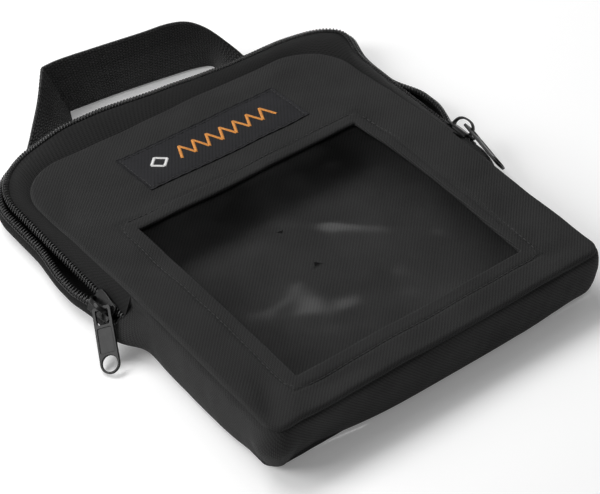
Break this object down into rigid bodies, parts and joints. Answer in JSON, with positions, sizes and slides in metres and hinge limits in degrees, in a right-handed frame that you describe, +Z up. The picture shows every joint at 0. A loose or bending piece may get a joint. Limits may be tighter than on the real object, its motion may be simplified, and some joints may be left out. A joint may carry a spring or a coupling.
{
  "type": "zip pouch",
  "caption": "Flat fabric pouch with a clear window, a sewn label, a coil zip with two sliders round its upper half and a webbing carry loop.",
  "frame": {"origin": "middle of the back panel's underside, on the surface that the pouch lies on", "axes": "+Z up out of the window side, +Y towards the carry loop, +X to the right seen from the window side"},
  "size_m": [0.2053, 0.2325, 0.0259],
  "materials": {
    "shell_fabric": "matt woven nylon",
    "lining_fabric": "matt woven lining",
    "binding_tape": "ribbed tape",
    "clear_film": "clear flexible film",
    "black_thread": "spun thread",
    "label_fabric": "satin woven patch",
    "orange_thread": "embroidery thread",
    "white_thread": "embroidery thread",
    "zip_tape": "knitted tape",
    "zip_coil": "moulded coil",
    "slider_metal": "glossy black enamel on cast zinc",
    "webbing": "coarse woven webbing"
  },
  "bodies": {
    "pouch": {"back_panel": "shell_fabric", "back_lining": "lining_fabric", "bottom_gusset": "shell_fabric", "seam_binding_back": "binding_tape", "seam_binding_front": "binding_tape", "front_panel_lower": "shell_fabric", "window_pane_lower": "clear_film", "window_thread_lower": "black_thread", "zip_tape_back": "zip_tape", "zip_coil_back": "zip_coil", "zip_end_tab_left": "shell_fabric", "zip_end_tab_right": "shell_fabric", "handle_end_left": "webbing", "handle_end_right": "webbing", "handle_bartack_left": "black_thread", "handle_bartack_right": "black_thread"},
    "flap": {"front_panel_upper": "shell_fabric", "window_pane_upper": "clear_film", "window_thread_upper": "black_thread", "label_patch": "label_fabric", "label_thread": "black_thread", "label_motif_orange": "orange_thread", "label_motif_white": "white_thread", "zip_tape_front": "zip_tape", "zip_coil_front": "zip_coil"},
    "slider_left": {"slider_body_left": "slider_metal", "slider_bridge_left": "slider_metal"},
    "slider_right": {"slider_body_right": "slider_metal", "slider_bridge_right": "slider_metal"},
    "pull_left": {"pull_tab_left": "slider_metal"},
    "pull_right": {"pull_tab_right": "slider_metal"},
    "handle": {"handle_middle": "webbing", "handle_twist_left": "webbing", "handle_twist_right": "webbing"}
  },
  "joints": [
    {"name": "flap_open", "type": "hinge", "parent": "pouch", "child": "flap", "pos_m": [0, 0.012, 0.025], "axis": [1, 0, 0], "range_deg": [0, 35], "deforming": ["zip_tape_front", "zip_coil_front"]},
    {"name": "slider_left_slide", "type": "slide", "parent": "pouch", "child": "slider_left", "axis": [0, 1, 0], "range_m": [0, 0.06], "deforming": ["zip_tape_back", "zip_coil_back"]},
    {"name": "slider_right_slide", "type": "slide", "parent": "pouch", "child": "slider_right", "axis": [0, 1, 0], "range_m": [0, 0.06], "deforming": ["zip_tape_back", "zip_coil_back"]},
    {"name": "pull_left_swing", "type": "hinge", "parent": "slider_left", "child": "pull_left", "pos_m": [-0.0915, 0.0086, 0.015], "axis": [-0.7302, 0.5786, -0.3634], "range_deg": [0, 110]},
    {"name": "pull_right_swing", "type": "hinge", "parent": "slider_right", "child": "pull_right", "pos_m": [0.0985, 0.0061, 0.015], "axis": [-0.6523, -0.038, 0.757], "range_deg": [0, 110]},
    {"name": "handle_swing", "type": "hinge", "parent": "pouch", "child": "handle", "pos_m": [0, 0.11447, 0.0019], "axis": [1, 0, 0], "range_deg": [0, 55]}
  ]
}
